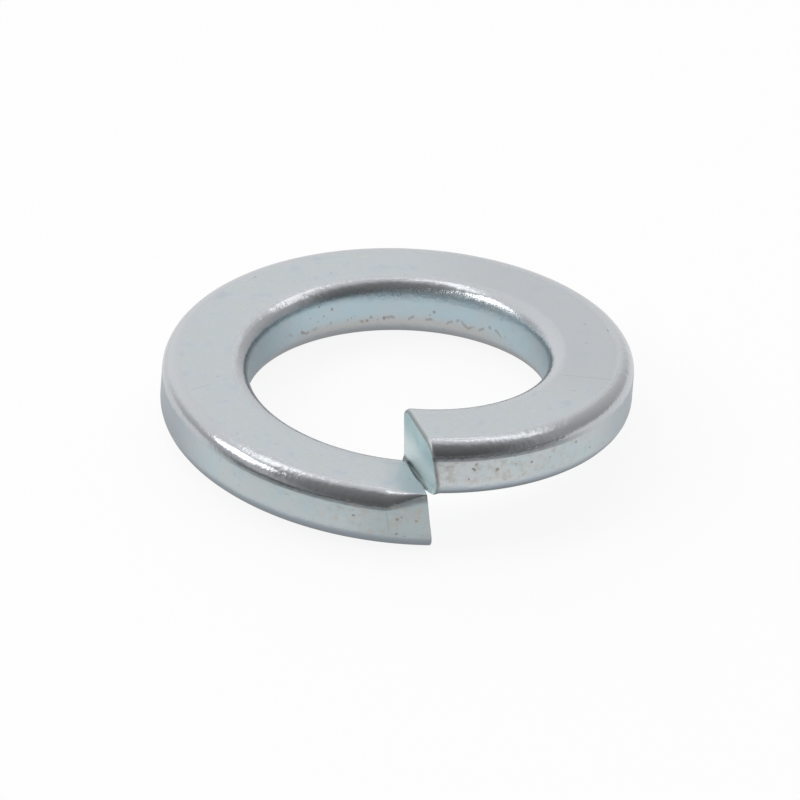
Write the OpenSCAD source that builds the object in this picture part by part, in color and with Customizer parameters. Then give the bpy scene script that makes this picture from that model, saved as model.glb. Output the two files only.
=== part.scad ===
// Helical spring lock washer: a bar of rounded square-edged section coiled through one turn and cut,
// so that one end stands a bar's thickness above the other. The low end lies at the front.

/* [Ring] */
// Bore diameter, which clears a 24 mm screw
bore_d = 24.8; // [24.5:0.1:25.5]
// Width of the bar, from the bore to the outside
bar_w = 7.2; // [6.6:0.1:8]
// Thickness of the bar
bar_t = 5.05; // [4.6:0.05:5.6]
// Radius of the bar's rounded corners
corner_r = 1.38; // [0.8:0.02:1.7]
// Rise of the bar over one full turn
turn_rise = 4.93; // [4.6:0.01:6.5]

/* [Cut ends] */
// Place of the cut, in degrees to the right of the front
cut_turn = 7.9; // [0:0.1:20]
// Angle of the cut from the radial line, seen from above
cut_skew = 14.3; // [0:0.1:20]
// Play between the two ends at the middle of the bar
cut_gap = 0.1; // [0:0.05:1]
// Lean of the low end's face from upright
low_lean = 5.2; // [2:0.1:8]
// Lean of the raised end's face from upright
raised_lean = 7.5; // [5:0.1:10]
// Reach of the raised end's top outer corner past a flat face
raised_twist = 0.95; // [0:0.05:1]
// Length of the low end's top outer edge that the shear squeezed square
low_squeeze = 3.7; // [1.5:0.1:6]
// Length of the raised end's lower inner edge that the shear squeezed square
raised_squeeze = 1.3; // [1:0.1:3]

/* [Hidden] */

inner_r = bore_d / 2;
outer_r = inner_r + bar_w;
middle_r = inner_r + bar_w / 2;

// Corner left at an edge that is squeezed square
squeezed_r = 0.12;
// Shape of the fade from the squeezed edge to the full corner
squeeze_power = 1.5;

// The swept bar stands this far past both walls, which the two cylinders then trim true
wall_trim = 0.6;
// The corners start this far off the walls, so that the sweep crosses the cylinders cleanly
wall_ease = 0.015;

// Segments of a rounded corner, and degrees between the sections along the bar and near its ends
corner_steps = 5;
bar_step = 4;
end_step = 1;
end_turn = 10;

// Half of the flat face's width, as a share of the bar's width
flat_half = 0.5 - corner_r / bar_w;

// Sections from the low end, at 0, to the raised end, at 1
stations = [
    for (a = [0:end_step:end_turn]) a / 360,
    for (a = [end_turn + bar_step:bar_step:360 - end_turn - bar_step]) a / 360,
    for (a = [360 - end_turn:end_step:360]) a / 360
];

// Degrees that a length along the bar spans at a radius
function turn_of(length, r) = length / r * 180 / PI;

// How far along the bar each end's face lies ahead of its middle, at radius r and height h in the section
function skew_shift(r) = -(r - middle_r) * tan(cut_skew);
function low_shift(r, h) = skew_shift(r) + h * tan(low_lean);
function twist_shift(r, h) = raised_twist * (r - middle_r) / bar_w * h / bar_t;
function raised_shift(r, h) = skew_shift(r) + h * tan(raised_lean) + twist_shift(r, h);

// Turn of each end's face from the front, clockwise seen from above
function low_turn(r, h) = -cut_turn + turn_of(cut_gap / 2, middle_r) + turn_of(low_shift(r, h), r);
function raised_turn(r, h) =
    360 - cut_turn - turn_of(cut_gap / 2, middle_r) + turn_of(raised_shift(r, h), r);

// The low end's lowest edge stands on the ground
ground_turn = low_turn(middle_r + flat_half * bar_w, -bar_t / 2);
function rise_at(turn) = turn_rise * (turn - ground_turn) / 360 + bar_t / 2;

// A point of the bar: share of the way along it, then radius and height in the section
function bar_point(share, p) =
    let (turn = low_turn(p[0], p[1]) * (1 - share) + raised_turn(p[0], p[1]) * share)
    [-p[0] * sin(turn), -p[0] * cos(turn), rise_at(turn) + p[1]];

// Corner radius at a length from a squeezed end
function faded_r(from_end, fade) =
    max(squeezed_r, corner_r * pow(min(1, from_end / fade), squeeze_power));

function arc(r, h, radius, start) =
    [for (i = [0:corner_steps]) let (a = start + 90 * i / corner_steps) [r + radius * cos(a), h + radius * sin(a)]];

// The bar's section, with a tab on each wall for the cylinders to trim
function section(share) =
    let (
        length = 2 * PI * outer_r,
        outer_top = faded_r(share * length, low_squeeze),
        inner_low = faded_r((1 - share) * length, raised_squeeze),
        top = bar_t / 2,
        outer_ease = outer_r - wall_ease,
        inner_ease = inner_r + wall_ease
    )
    concat(
        arc(outer_ease - outer_top, top - outer_top, outer_top, 0),
        arc(inner_ease + corner_r, top - corner_r, corner_r, 90),
        [[inner_r - wall_trim, top - corner_r], [inner_r - wall_trim, inner_low - top]],
        arc(inner_ease + inner_low, inner_low - top, inner_low, 180),
        arc(outer_ease - corner_r, corner_r - top, corner_r, 270),
        [[outer_r + wall_trim, corner_r - top], [outer_r + wall_trim, top - outer_top]]
    );

// Helical sweep of the section, closed by a face at each end
module coiled_bar() {
    rings = [for (share = stations) [for (p = section(share)) bar_point(share, p)]];
    across = len(rings[0]);
    last = len(rings) - 1;
    middles = [bar_point(0, [middle_r, 0]), bar_point(1, [middle_r, 0])];
    low_middle = across * len(rings);
    raised_middle = low_middle + 1;
    sides = [
        for (i = [0:last - 1], j = [0:across - 1])
            let (k = (j + 1) % across, a = i * across, b = a + across)
            each [[a + j, b + k, a + k], [a + j, b + j, b + k]]
    ];
    low_face = [for (j = [0:across - 1]) [low_middle, j, (j + 1) % across]];
    raised_face = [
        for (j = [0:across - 1]) [raised_middle, last * across + (j + 1) % across, last * across + j]
    ];
    polyhedron([for (ring = rings) each ring, each middles], concat(sides, low_face, raised_face));
}

// An upright cylinder about the axis that covers the whole coil
module wall(r) {
    reach = turn_rise + bar_t * 3;
    rotate([0, 0, cut_turn - 90]) translate([0, 0, -bar_t]) cylinder(h = reach, r = r, $fn = 360);
}

module spring_washer() {
    color([0.74, 0.77, 0.80])
    difference() {
        intersection() {
            coiled_bar();
            wall(outer_r);
        }
        wall(inner_r);
    }
}

spring_washer();
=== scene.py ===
"""A helical spring lock washer, lying where it came to rest on a pale table."""
import math

import bpy
from mathutils import Matrix, Vector


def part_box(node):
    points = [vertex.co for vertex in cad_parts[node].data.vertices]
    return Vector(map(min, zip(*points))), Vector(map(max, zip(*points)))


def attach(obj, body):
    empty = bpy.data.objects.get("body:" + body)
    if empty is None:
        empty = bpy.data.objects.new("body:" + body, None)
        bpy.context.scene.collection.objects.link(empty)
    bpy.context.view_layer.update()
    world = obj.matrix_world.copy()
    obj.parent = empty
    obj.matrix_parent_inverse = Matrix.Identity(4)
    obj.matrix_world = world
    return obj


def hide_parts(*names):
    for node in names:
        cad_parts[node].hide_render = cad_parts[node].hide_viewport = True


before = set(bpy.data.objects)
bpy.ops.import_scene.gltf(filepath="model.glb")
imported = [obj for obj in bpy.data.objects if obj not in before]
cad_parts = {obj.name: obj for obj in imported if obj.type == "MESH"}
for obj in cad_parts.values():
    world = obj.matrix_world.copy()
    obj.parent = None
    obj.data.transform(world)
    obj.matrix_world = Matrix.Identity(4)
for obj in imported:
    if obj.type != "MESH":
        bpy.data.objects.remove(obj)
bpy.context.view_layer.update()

# The washer
# One turn of spring steel bar with rounded corners, coiled, sheared on a slant and zinc plated.
# The shear left one end standing a bar's thickness above the other, and squeezed some corners square.

mm = 0.001
low_corner, high_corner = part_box("spring_washer")
outer_r = (high_corner[0] - low_corner[0]) / 2
bar_w = 7.2 * mm
bar_t = 5.05 * mm
corner_r = 1.38 * mm
turn_rise = 4.93 * mm
middle_r = outer_r - bar_w / 2

cut_turn = math.radians(7.9)
cut_skew = math.radians(14.3)
cut_gap = 0.1 * mm
low_lean = math.radians(4.6)
low_twist = 0.95 * mm
low_reach = 0.09 * mm
raised_lean = math.radians(7.4)
raised_twist = 0.64 * mm
low_squeeze = 3.7 * mm
raised_squeeze = 1.3 * mm
squeezed_r = 0.12 * mm
squeeze_blend = 0.1         # of the squeezed length, over which it runs into the full corner
ground_turn = math.radians(-10.22)

# Edges of the cut: the shear rolled the raised end's top edge over and left the low end's crisp. It
# drew the low end's top edge out into a lip, lifted its corner, and tore a burr below the raised end.
rolled_edge = 0.42 * mm
crisp_edge = 0.10 * mm
lip_reach = 0.36 * mm
lip_full = 1.9 * mm         # from the bar's middle: here the lip is drawn out fully,
lip_fall = 2.3 * mm         # from here it draws back,
lip_end = 3.4 * mm          # and here it is gone
corner_lift = 0.30 * mm
burr_drop = 0.50 * mm
burr_lean = 0.14 * mm
burr_length = 0.45 * mm

corner_steps = 8
side_cuts = 4
coil_steps = 400
end_crowding = 0.9
cut_face_rings = (0.95, 0.8, 0.6, 0.5)      # each ring's share of the one outside it
sharp_angle = math.radians(50)


def smooth_step(low, high, value):
    share = min(1, max(0, (value - low) / (high - low)))
    return share * share * (3 - 2 * share)


def low_turn(r, h):
    """Angle at which the low end's face lies, at a radius and a height in the bar."""
    x = r - middle_r
    lip = smooth_step(0, lip_full, x) * (1 - smooth_step(lip_fall, lip_end, x))
    lip *= lip_reach * smooth_step(0.4, 1, h / bar_t * 2)
    twist = low_twist * x / bar_w * h / bar_t
    shift = -x * math.tan(cut_skew) + h * math.tan(low_lean) + twist - low_reach - lip
    return -cut_turn + cut_gap / 2 / middle_r + shift / r


def raised_turn(r, h):
    """Angle at which the raised end's face lies, at a radius and a height in the bar."""
    x = r - middle_r
    twist = raised_twist * x / bar_w * h / bar_t
    shift = -x * math.tan(cut_skew) + h * math.tan(raised_lean) + twist
    return 2 * math.pi - cut_turn - cut_gap / 2 / middle_r + shift / r


flat_edge = bar_w / 2 - corner_r


def rise_at(turn):
    """Height of the bar's middle above the lowest point that it stands on."""
    return turn_rise * (turn - ground_turn) / (2 * math.pi) + bar_t / 2


def crowded(share):
    """Sections stand closer together towards the two cut ends."""
    return share - end_crowding * math.sin(2 * math.pi * share) / (2 * math.pi)


def corner_at(share, side_x, side_z):
    """Radius of one of the bar's corners, which the shear squeezed square at two places."""
    length = 2 * math.pi * outer_r
    if side_x > 0 and side_z > 0:
        fade = share * length / low_squeeze
    elif side_x < 0 and side_z < 0:
        fade = (1 - share) * length / raised_squeeze
    else:
        fade = 1 + squeeze_blend
    fade = min(fade, 1 + squeeze_blend)
    fade -= max(0, fade - 1 + squeeze_blend) ** 2 / (4 * squeeze_blend)
    return max(squeezed_r, corner_r * fade)


def edge_at(share, normal):
    """Radius that rounds the cut's edge, at a place on the section given by its outward direction."""
    if share < 0.5:
        return crisp_edge
    return crisp_edge + (rolled_edge - crisp_edge) * smooth_step(0.2, 0.9, normal[1])


def lift_at(share, x, z):
    """Height that the shear lifted the low end's outer top corner."""
    near_end = 1 - smooth_step(0, low_squeeze, share * 2 * math.pi * outer_r)
    near_corner = smooth_step(0.4, 1, x / bar_w * 2) * smooth_step(0, 1, z / bar_t * 2)
    return corner_lift * near_end * near_corner


def burr_at(share, x, normal):
    """How fully the burr is drawn out at a place near the raised end, from 0 to 1."""
    from_end = (1 - share) * 2 * math.pi * (middle_r + x)
    inward = 1 - 0.7 * smooth_step(0.2, 0.9, x / bar_w * 2)
    return max(0, 1 - from_end / burr_length) ** 2 * smooth_step(0.3, 1, -normal[1]) * inward


def section_point(share, x, z):
    """Place in the section, at a share of the way along the bar, of a point of the full section."""
    side_x, side_z = math.copysign(1, x), math.copysign(1, z)
    past_x = (abs(x) - flat_edge) / corner_r
    past_z = (abs(z) - bar_t / 2 + corner_r) / corner_r
    if past_x > -1e-4 and past_z > -1e-4:
        radius = corner_at(share, side_x, side_z)
        normal = (side_x * past_x, side_z * past_z)
        x = side_x * (bar_w / 2 - radius) + radius * normal[0]
        z = side_z * (bar_t / 2 - radius) + radius * normal[1]
    elif past_x > past_z:
        normal = (side_x, 0)
    else:
        normal = (0, side_z)
    edge = edge_at(share, normal)
    from_end = min(share, 1 - share) * 2 * math.pi * (middle_r + x)
    tuck = edge - math.sqrt(max(0, edge ** 2 - max(0, edge - from_end) ** 2))
    burr = burr_at(share, x, normal)
    return x - tuck * normal[0], z - tuck * normal[1] * (1 - burr), burr


def bar_point(share, x, z):
    """Place in the room, at a share of the way along the bar, of a point of the full section."""
    x, z, burr = section_point(share, x, z)
    r = middle_r + x
    turn = low_turn(r, z) * (1 - share) + (raised_turn(r, z) + burr * burr_lean / r) * share
    z += lift_at(share, x, z) - burr * burr_drop
    return Vector((-r * math.sin(turn), -r * math.cos(turn), rise_at(turn) + z))


# The bar's section: a plane with its four corners rounded and its sides divided
bpy.ops.object.select_all(action="DESELECT")
bpy.ops.mesh.primitive_plane_add(size=1, location=(middle_r, 0, 0), rotation=(math.pi / 2, 0, 0))
washer = bpy.context.active_object
washer.name = "washer"
washer.scale = (bar_w, bar_t, 1)
bpy.ops.object.transform_apply(location=True, rotation=True, scale=True)
bpy.ops.object.mode_set(mode="EDIT")
bpy.ops.mesh.select_all(action="SELECT")
bpy.ops.mesh.bevel(offset=corner_r, segments=corner_steps, affect="VERTICES", clamp_overlap=False)
bpy.ops.mesh.select_all(action="DESELECT")
bpy.ops.object.mode_set(mode="OBJECT")
for edge in washer.data.edges:
    one, other = (washer.data.vertices[i].co for i in edge.vertices)
    edge.select = (other - one).length > corner_r
bpy.ops.object.mode_set(mode="EDIT")
bpy.ops.mesh.select_mode(type="EDGE")
bpy.ops.mesh.subdivide(number_cuts=side_cuts)
bpy.ops.mesh.select_all(action="SELECT")
bpy.ops.mesh.delete(type="ONLY_FACE")
bpy.ops.object.mode_set(mode="OBJECT")

# Its points in order round the section, with how far round each lies
section = [(v.co.x - middle_r, v.co.z) for v in washer.data.vertices]
neighbours = {}
for edge in washer.data.edges:
    for one, other in (edge.vertices, reversed(edge.vertices)):
        neighbours.setdefault(one, []).append(other)
start = min(range(len(section)), key=lambda i: (section[i][1], abs(section[i][0])))
walk = [start, max(neighbours[start], key=lambda i: section[i][0])]
while len(walk) < len(section):
    walk.append(next(i for i in neighbours[walk[-1]] if i != walk[-2]))
around = {start: 0.0}
for before, after in zip(walk, walk[1:]):
    around[after] = around[before] + math.dist(section[before], section[after])
perimeter = around[walk[-1]] + math.dist(section[walk[-1]], section[start])
for i in around:
    around[i] += section[start][0]

# Swept round the axis by a screw, then each section is slid along the bar to slant the two ends
screw = washer.modifiers.new("coil", "SCREW")
screw.angle = 2 * math.pi
screw.screw_offset = turn_rise
screw.steps = coil_steps
screw.render_steps = coil_steps
screw.use_merge_vertices = False
bpy.ops.object.modifier_apply(modifier="coil")
across = len(section)
for vertex in washer.data.vertices:
    step, place = divmod(vertex.index, across)
    vertex.co = bar_point(crowded(step / coil_steps), *section[place])

# Where each point lies along and round the bar, in millimetres, for the finish to follow
bar_length = 2 * math.pi * middle_r / mm
bar_map = washer.data.uv_layers.new(name="bar")
for face in washer.data.polygons:
    corners = [divmod(washer.data.vertices[i].index, across) for i in face.vertices]
    rounds = [around[place] / mm for _, place in corners]
    wraps = max(rounds) - min(rounds) > perimeter / mm / 2
    for loop, (step, _), height in zip(face.loop_indices, corners, rounds):
        if wraps and height < perimeter / mm / 2:
            height += perimeter / mm
        bar_map.data[loop].uv = (crowded(step / coil_steps) * bar_length, height)

# The sheared faces, each with a narrow border, and inside it laid on the twisted plane of the cut
swept_faces = len(washer.data.polygons)
for share, cut_at in ((0, low_turn), (1, raised_turn)):
    turn = cut_at(middle_r, 0)
    middle = (-middle_r * math.sin(turn), -middle_r * math.cos(turn), rise_at(turn))
    bpy.ops.object.mode_set(mode="EDIT")
    bpy.ops.mesh.select_mode(type="VERT")
    bpy.ops.mesh.select_all(action="DESELECT")
    bpy.ops.object.mode_set(mode="OBJECT")
    for i in range(across):
        washer.data.vertices[share * coil_steps * across + i].select = True
    border_end = len(washer.data.vertices)
    bpy.ops.object.mode_set(mode="EDIT")
    bpy.ops.mesh.edge_face_add()
    for size in cut_face_rings:
        bpy.ops.mesh.extrude_region()
        bpy.ops.transform.resize(value=(size, size, size), center_override=middle)
    bpy.ops.mesh.poke()
    bpy.ops.object.mode_set(mode="OBJECT")
    for vertex in washer.data.vertices[border_end:]:
        r = math.hypot(vertex.co.x, vertex.co.y)
        off_cut = math.atan2(-vertex.co.x, -vertex.co.y) - turn
        h = vertex.co.z - rise_at(turn + math.remainder(off_cut, 2 * math.pi))
        at = cut_at(r, h)
        vertex.co = (-r * math.sin(at), -r * math.cos(at), rise_at(at) + h)
bpy.ops.object.mode_set(mode="EDIT")
bpy.ops.mesh.select_all(action="SELECT")
bpy.ops.mesh.normals_make_consistent(inside=False)
bpy.ops.object.mode_set(mode="OBJECT")
bpy.ops.object.shade_smooth_by_angle(angle=sharp_angle)
bpy.ops.object.material_slot_add()
bpy.ops.object.material_slot_add()
for face in washer.data.polygons[swept_faces:]:
    face.material_index = 1


class Wire:
    """One socket of a material's nodes. Arithmetic on it adds the Math nodes that work it out."""

    def __init__(self, tree, socket=None):
        self.tree = tree
        self.socket = socket

    def node(self, kind, settings=None, inputs=None, output=0):
        """Adds a node: its settings first, then the values or links of its sockets."""
        made = self.tree.nodes.new(kind)
        for name, value in (settings or {}).items():
            if name == "stops":
                ramp = made.color_ramp
                while len(ramp.elements) < len(value):
                    ramp.elements.new(1)
                for stop, (place, colour) in zip(ramp.elements, value):
                    stop.position = place
                    stop.color = colour
            else:
                setattr(made, name, value)
        for name, value in (inputs or {}).items():
            if isinstance(value, Wire):
                self.tree.links.new(value.socket, made.inputs[name])
            else:
                made.inputs[name].default_value = value
        return Wire(self.tree, made.outputs[output])

    def maths(self, operation, *values):
        return self.node("ShaderNodeMath", {"operation": operation}, dict(enumerate(values)))

    def __add__(self, other):
        return self.maths("ADD", self, other)

    def __radd__(self, other):
        return self.maths("ADD", other, self)

    def __sub__(self, other):
        return self.maths("SUBTRACT", self, other)

    def __rsub__(self, other):
        return self.maths("SUBTRACT", other, self)

    def __mul__(self, other):
        return self.maths("MULTIPLY", self, other)

    def __rmul__(self, other):
        return self.maths("MULTIPLY", other, self)

    def __abs__(self):
        return self.maths("ABSOLUTE", self)

    def clamped(self):
        return self.maths("MAXIMUM", self.maths("MINIMUM", self, 1), 0)

    def step(self, low, high):
        """0 below low, 1 above high, and smooth between; low above high turns it round."""
        if low > high:
            return 1 - self.step(high, low)
        settings = {"interpolation_type": "SMOOTHSTEP"}
        inputs = {"Value": self, "From Min": low, "From Max": high}
        return self.node("ShaderNodeMapRange", settings, inputs)

    def near(self, middle, half, soft):
        """1 within half of the middle, fading to 0 over a soft border."""
        return abs(self - middle).step(half + soft / 2, half - soft / 2)

    def axis(self, index):
        """One of a vector's three numbers."""
        return self.node("ShaderNodeSeparateXYZ", None, {0: self}, output=index)

    def length(self):
        return self.node("ShaderNodeVectorMath", {"operation": "LENGTH"}, {0: self}, output=1)

    def scaled(self, x, y, z):
        settings = {"operation": "MULTIPLY"}
        return self.node("ShaderNodeVectorMath", settings, {0: self, 1: (x, y, z)})

    def moved(self, x, y, z):
        settings = {"operation": "ADD"}
        return self.node("ShaderNodeVectorMath", settings, {0: self, 1: (x, y, z)})

    def noise(self, scale, detail=2, roughness=0.5):
        inputs = {"Vector": self, "Scale": scale, "Detail": detail, "Roughness": roughness}
        return self.node("ShaderNodeTexNoise", None, inputs)

    def cells(self, scale):
        return self.node("ShaderNodeTexVoronoi", None, {"Vector": self, "Scale": scale})

    def ramp(self, *stops):
        """A colour from stops, each a place from 0 to 1 and its colour."""
        return self.node("ShaderNodeValToRGB", {"stops": stops}, {0: self})

    def between(self, first, second):
        """A colour that goes from the first to the second as this goes from 0 to 1."""
        return self.node("ShaderNodeMix", {"data_type": "RGBA"}, {0: self, 6: first, 7: second}, output=2)

    def tinted(self, colour, amount):
        """Mixes a colour, or a wire that carries one, into this one."""
        return self.node("ShaderNodeMix", {"data_type": "RGBA"}, {0: amount, 6: self, 7: colour}, output=2)

    def feeds(self, socket):
        self.tree.links.new(self.socket, socket)


def shade(red, green, blue):
    """A colour as it looks on a screen, from 0 to 255, made linear."""
    def linear(value):
        value = value / 255
        return value / 12.92 if value <= 0.04045 else ((value + 0.055) / 1.055) ** 2.4
    return (linear(red), linear(green), linear(blue), 1)


def metal_of(name, index):
    """A new metal for one of the washer's slots: its nodes, its shader and a wire to start from."""
    finish = bpy.data.materials.new(name)
    finish.use_nodes = True
    washer.material_slots[index].material = finish
    shader = finish.node_tree.nodes["Principled BSDF"]
    shader.inputs["Metallic"].default_value = 1
    return shader, Wire(finish.node_tree)


# Bright zinc: satin on the two bearing faces, polished on the rounded corners, bluish on the walls.
# All lengths are millimetres. These places round the bar are the middles of its sides and corners.
side_w = bar_w / mm - 2 * corner_r / mm
side_t = bar_t / mm - 2 * corner_r / mm
turned = math.pi / 2 * corner_r / mm
outer_bottom = side_w / 2 + turned / 2
outer_wall = outer_bottom + turned / 2 + side_t / 2
outer_top = outer_wall + side_t / 2 + turned / 2
top_face = outer_top + turned / 2 + side_w / 2
inner_top = top_face + side_w / 2 + turned / 2
inner_wall = inner_top + turned / 2 + side_t / 2
under_seam = perimeter / mm

shader, wire = metal_of("bright_zinc", 0)
place = wire.node("ShaderNodeUVMap", {"uv_map": "bar"})
along = place.axis(0)
round_it = place.axis(1)
spot = wire.node("ShaderNodeTexCoord", output=3).scaled(1 / mm, 1 / mm, 1 / mm)

# Where each side is, with borders that waver a little
waver = (spot.noise(0.55, 2) - 0.5) * 0.5 + (spot.noise(3.0, 3) - 0.5) * 0.3
edge_place = round_it + waver
on_top = edge_place.near(top_face, side_w / 2 - 0.05, 0.5)
on_under = 1 - edge_place.near(under_seam / 2, under_seam / 2 - side_w / 2, 0.5)
on_faces = (on_top + on_under).clamped()
on_outside = edge_place.near(outer_wall, side_t / 2 + 0.15, 0.5)
on_inside = edge_place.near(inner_wall - 0.2, side_t / 2 + 0.5, 0.9)
on_walls = (on_outside + on_inside).clamped()
by_raised_end = along.step(bar_length - 0.35, bar_length - 0.08)

# The two faces are mottled, and greyer on the right
fine = spot.noise(9, 4, 0.6)
cloud = spot.noise(0.5, 4, 0.65)
drift = spot.moved(40, 0, 0).noise(0.9, 4, 0.65)
face_colour = (cloud * 0.6 + drift * 0.4).ramp(
    (0.36, shade(190, 198, 204)), (0.44, shade(196, 204, 209)), (0.50, shade(200, 204, 208)),
    (0.56, shade(196, 204, 205)), (0.64, shade(206, 205, 208)))
# Painted shade: the outer bottom corner, turned down towards the table, is darker and bluer
outer_bottom_shade = round_it.near(outer_bottom, turned / 2 + 0.2, 0.6)
on_right = along.near(70, 14, 10)
colour = outer_bottom_shade.between(shade(196, 199, 203), shade(178, 188, 196))
colour = colour.tinted(face_colour, on_faces)
colour = colour.tinted(shade(188, 191, 196), on_faces * on_right * 0.6)

# The outer wall: painted shade darkens it at both sides, painted reflection lightens it by the raised end,
# and it is greener by the low one
outside_colour = cloud.ramp((0.35, shade(195, 210, 215)), (0.60, shade(204, 210, 212)))
at_sides = along.near(24, 5, 8) + along.near(79, 6, 8)
# By the low end the outer wall is tinted greener, and the top face gets a painted reflection of the teal
# sheared face
greened_and_reflected = along.step(6.5, 3) * on_outside * 0.6 + along.step(3, 0.5) * on_top * 0.45
colour = colour.tinted(outside_colour, on_outside)
# Painted shade: both sides of the ring's outer wall are darkened
colour = colour.tinted(shade(150, 159, 168), on_outside * at_sides * 0.7)
# Painted reflection: the outer wall is lightened by the raised end
colour = colour.tinted(shade(224, 228, 230), on_outside * along.step(91, 98) * 0.5)
colour = colour.tinted(shade(172, 186, 190), greened_and_reflected)

# The bore is bluer, and painted shade darkens it on the left
inside_colour = cloud.ramp((0.30, shade(185, 207, 217)), (0.65, shade(192, 206, 212)))
colour = colour.tinted(inside_colour, on_inside)
colour = colour.tinted(shade(160, 176, 184), on_inside * along.step(42, 32) * 0.8)

# Edges: the rolled one is greyer; painted shade darkens the one that meets the table, and a painted dark
# reflection the outer wall's upper one in front
in_front = along.step(18, 11) + along.step(86, 93)
painted_edge_reflection = round_it.near(outer_top - turned / 2 + 0.06, 0.2, 0.16)
painted_foot_shade = round_it.near(2.5, 0.35, 0.8)
colour = colour.tinted(shade(178, 184, 183), by_raised_end * 0.6)
# Painted shade along the edge that meets the table
colour = colour.tinted(shade(112, 118, 124), painted_foot_shade * 0.7)
# Painted reflection: a dark line at the foot of the outer top corner, in front
colour = colour.tinted(shade(84, 88, 94), painted_edge_reflection * in_front * 0.6)

# Where the passivation is uneven: the lower half of the bore is beige, and a broken brown line runs
# in it, with ragged dots. The outer wall has dots and pale brown patches near both ends.
bore_back = along.near(51, 12, 8)
beige = round_it.step(16.7, 17.9) * on_inside * bore_back
colour = colour.tinted(shade(196, 190, 186), beige * 0.8)
wander = (place.scaled(0.3, 0, 0).noise(1, 3) - 0.5) * 3.4
broken = place.scaled(1.1, 0.5, 0).noise(1, 3, 0.6).step(0.48, 0.56)
line = (round_it + wander).near(17.3, 0.10, 0.30) * broken * along.near(51, 13, 4)
ragged = spot.cells(1.3) + (spot.noise(4, 2) - 0.5) * 0.5
dots = ragged.step(0.24, 0.12) * spot.moved(7, 3, 0).noise(0.8, 2).step(0.48, 0.54)
near_ends = along.step(9, 5) + along.step(bar_length - 18, bar_length - 7)
stained = on_inside * bore_back * 0.7 + on_outside * (near_ends * 0.8 + 0.12)
colour = colour.tinted(shade(140, 130, 124), line * 0.65)
colour = colour.tinted(shade(146, 138, 130), dots * stained)
patches = spot.noise(1.3, 4, 0.65).step(0.46, 0.66) * on_outside * near_ends
colour = colour.tinted(shade(188, 180, 168), patches * 0.5)

# Marks of handling: places along and round the bar, half sizes along and round it, and strength
marks = ((81.5, top_face, 0.03, 2.3, 0.35),
         (22.3, top_face - 1.2, 0.03, 0.9, 0.3),
         (73.3, 9.15, 0.22, 0.03, 0.8),
         (40.3, 9.25, 0.1, 0.06, 0.6),
         (2.9, outer_wall, 0.03, 0.9, 0.3))
soft = 0.12
scored = 0
for mark_along, mark_round, half_along, half_round, strength in marks:
    mark = along.near(mark_along, half_along, soft) * round_it.near(mark_round, half_round, soft)
    scored = mark * strength + scored
specks = (spot.moved(3, 9, 0).cells(0.75) + (fine - 0.5) * 0.25).step(0.13, 0.05) * on_top
specks = specks * spot.noise(0.6, 2).step(0.42, 0.6)
colour = colour.tinted(shade(112, 116, 122), (scored + specks * 0.3).clamped())
colour.feeds(shader.inputs["Base Color"])

# Roughness: least on the corners, most on the rolled edge and where the inner corner was pressed
pressed = round_it.near(inner_top + 0.75, 0.5, 0.7) * along.near(56, 9, 6)
matt = spot.noise(7, 3, 0.6).step(0.50, 0.60) * pressed
dulled = on_faces * 0.20 + on_walls * 0.18 + by_raised_end * 0.4 + matt * 0.28 + (fine - 0.5) * 0.12
(dulled + 0.17).feeds(shader.inputs["Roughness"])

# Surface relief: grain, drawing lines beside the corners, and the crinkles that coiling pressed into
# the inner corner
grain = (fine - 0.5) * 0.008 + (spot.noise(2.2, 2) - 0.5) * 0.022 + (spot.noise(0.8, 2) - 0.5) * 0.035
drawn = (place.scaled(0.15, 6, 0).noise(1, 3) - 0.5) * 0.035
beside = round_it.near(top_face + side_w / 2, 0.5, 0.6) + round_it.near(top_face - side_w / 2, 0.5, 0.6)
crinkles = (place.scaled(5, 1.8, 0).noise(1, 3, 0.65) - 0.5) * 0.10
crumpled = round_it.near(top_face + side_w / 2 + 0.1, 0.25, 0.4) * along.near(27, 3.5, 3)
relief = grain + drawn * beside + crinkles * (pressed + crumpled * 0.6)
bump = wire.node("ShaderNodeBump", None, {"Strength": 1, "Distance": mm, "Height": relief})
bump.feeds(shader.inputs["Normal"])

# The sheared faces: marked with tears across the bar, tinted blue-green by the passivation, lightened low
# down by painted light, and darkened by painted shade where the two ends meet
shader, wire = metal_of("sheared_zinc", 1)
spot = wire.node("ShaderNodeTexCoord", output=3).scaled(1 / mm, 1 / mm, 1 / mm)
height = spot.axis(2)
from_axis = spot.scaled(1, 1, 0).length()
# Painted shade: a dark strip along the crevice where the raised end overhangs the low one
painted_seam_shade = height.near(4.95, 0.25, 0.5) * from_axis.step(17.5, 15.5)
colour = spot.noise(0.8, 3).ramp((0.35, shade(191, 221, 224)), (0.65, shade(207, 231, 234)))
# Painted light: the lower part of the sheared faces is lightened
colour = colour.tinted(shade(240, 253, 254), height.step(8.5, 6.5))
colour = colour.tinted(shade(100, 105, 112), painted_seam_shade * 0.7)
colour.feeds(shader.inputs["Base Color"])
shader.inputs["Roughness"].default_value = 0.45
tears = spot.scaled(4, 4, 0.5).noise(1.5, 3) * 0.03
bump = wire.node("ShaderNodeBump", None, {"Strength": 1, "Distance": mm, "Height": tears})
bump.feeds(shader.inputs["Normal"])

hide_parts("spring_washer")
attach(washer, "root")

# The table
# A wide sheet of white paper. The washer lies on its low end and on the point opposite, so against the
# bore's axis the sheet rises towards the back and towards the raised end.

table_w = 3.0
stand_r = middle_r + flat_edge
tip_way = Vector((-math.sin(ground_turn), -math.cos(ground_turn), 0))
side_way = Vector((-math.cos(ground_turn), math.sin(ground_turn), 0))
table_up = tip_way * turn_rise / (4 * stand_r) + side_way * turn_rise / (2 * math.pi * stand_r)
table_up = (table_up + Vector((0, 0, 1))).normalized()
tip_foot = tip_way * stand_r

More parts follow.
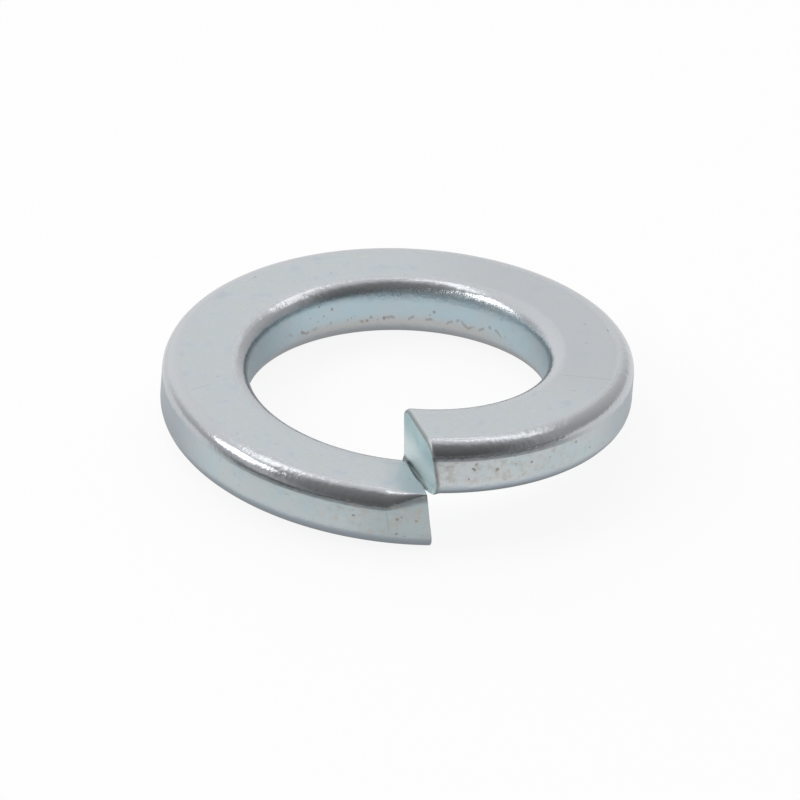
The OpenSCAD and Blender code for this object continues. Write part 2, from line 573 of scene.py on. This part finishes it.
bpy.ops.object.select_all(action="DESELECT")
bpy.ops.mesh.primitive_plane_add(size=table_w, location=(0, 0, 0))
table = bpy.context.active_object
table.name = "table"
table.matrix_world = Matrix.Translation(tip_foot) @ table_up.to_track_quat("Z", "Y").to_matrix().to_4x4()
bpy.ops.object.transform_apply(location=True, rotation=True, scale=True)
sheet = bpy.data.materials.new("white_sheet")
sheet.use_nodes = True
table.data.materials.append(sheet)
paper = sheet.node_tree.nodes["Principled BSDF"]
paper.inputs["Base Color"].default_value = (0.86, 0.86, 0.86, 1)
paper.inputs["Roughness"].default_value = 0.9
paper.inputs["Specular IOR Level"].default_value = 0.1

# To the camera the sheet is nearly white. In the metal it glows with a painted pool of light round the
# washer, with painted shadow under the bar and painted dark in front, past the pool's edge.
wire = Wire(sheet.node_tree)
seen = wire.node("ShaderNodeLightPath", output=0)
mirrored = wire.node("ShaderNodeLightPath", output=3)
spread = wire.node("ShaderNodeTexCoord", output=3).scaled(1 / mm, 1 / mm, 0)
painted_shadow_under_bar = spread.length().near(16, 4.5, 6)
past_pool = spread.moved(-10, 0, 0).length().step(38, 46)
in_front = spread.axis(1).step(-8, -22)
lit = 1 - painted_shadow_under_bar * 0.6 - past_pool * in_front * 0.9
level = seen * 1.06 + mirrored * lit
glow = wire.node("ShaderNodeEmission", None, {"Color": (1, 1, 1, 1), "Strength": level})
matt_paper = Wire(sheet.node_tree, paper.outputs[0])
share = seen * 0.84 + mirrored * 0.75
mixed = wire.node("ShaderNodeMixShader", None, {0: share, 1: matt_paper, 2: glow})
mixed.feeds(sheet.node_tree.nodes["Material Output"].inputs["Surface"])

# The studio
# A soft room, lightest behind on the left and dim on the camera's side. A square softbox stands at the
# left, and two strip lights hang high behind the washer, one on each side.

room = bpy.context.scene.world or bpy.data.worlds.new("room")
bpy.context.scene.world = room
room.use_nodes = True
wire = Wire(room.node_tree)
way = wire.node("ShaderNodeTexCoord", output=0)


def towards(azimuth, elevation):
    """A direction: azimuth from the back towards the right, and elevation, in degrees."""
    turn, lift = math.radians(azimuth), math.radians(elevation)
    return (math.sin(turn) * math.cos(lift), math.cos(turn) * math.cos(lift), math.sin(lift))


def facing(azimuth, elevation):
    settings = {"operation": "DOT_PRODUCT"}
    return wire.node("ShaderNodeVectorMath", settings, {0: way, 1: towards(azimuth, elevation)}, output=1)


def patch(azimuth, elevation, inner, outer):
    """1 within the inner angle of a direction, fading to 0 at the outer angle."""
    return facing(azimuth, elevation).step(math.cos(math.radians(outer)), math.cos(math.radians(inner)))


dim_front = patch(175, 34, 38, 72)
dim_left = patch(-80, 0, 10, 40)
dim_right = patch(52, 25, 15, 40)
level = (0.62 + facing(-35, 20) * 0.38) * (1 - dim_front * 0.6) * (1 - dim_left * 0.38 - dim_right * 0.22)
seen = wire.node("ShaderNodeLightPath", output=0)
level = level * (1 - seen) + seen
air = wire.node("ShaderNodeBackground", None, {"Color": (1, 1, 1, 1), "Strength": level})
air.feeds(room.node_tree.nodes["World Output"].inputs["Surface"])

lamp_distance = 1.0


def softbox(name, azimuth, elevation, width, height, power):
    light = bpy.data.lights.new(name, "AREA")
    light.shape = "RECTANGLE"
    light.size = width
    light.size_y = height
    light.energy = power
    lamp = bpy.data.objects.new(name, light)
    bpy.context.scene.collection.objects.link(lamp)
    lamp.location = Vector(towards(azimuth, elevation)) * lamp_distance
    lamp.rotation_euler = lamp.location.to_track_quat("Z", "Y").to_euler()


softbox("left", -101, 37, 0.36, 0.36, 1.8)
softbox("right_strip", 42, 57, 0.80, 0.12, 0.42)
softbox("left_strip", -50, 66, 0.64, 0.10, 0.36)

# The camera
# A long lens well in front of the washer. The numbers were fitted to the photograph's outline.

camera_elevation = math.radians(28.98)
camera_roll = math.radians(4.30)
camera_distance = 73 * outer_r
outer_r_px = 235.5
centre_px = Vector((397.1, 381.0))
frame_px = 800

back_way = Vector((0, -math.cos(camera_elevation), math.sin(camera_elevation)))
level_up = Vector((0, math.sin(camera_elevation), math.cos(camera_elevation)))
right_way = math.cos(camera_roll) * Vector((1, 0, 0)) + math.sin(camera_roll) * level_up
up_way = math.cos(camera_roll) * level_up - math.sin(camera_roll) * Vector((1, 0, 0))
px = outer_r / outer_r_px
aim = Vector((0, 0, rise_at(math.pi)))
aim += right_way * (frame_px / 2 - centre_px.x) * px - up_way * (frame_px / 2 - centre_px.y) * px
lens = bpy.data.cameras.new("camera")
lens.lens = camera_distance / (frame_px * px) * lens.sensor_width
lens.clip_end = 20
camera = bpy.data.objects.new("camera", lens)
bpy.context.scene.collection.objects.link(camera)
turned_to = Matrix((right_way, up_way, back_way)).transposed().to_4x4()
camera.matrix_world = Matrix.Translation(aim + back_way * camera_distance) @ turned_to
bpy.context.scene.camera = camera
bpy.context.scene.view_settings.view_transform = "Standard"
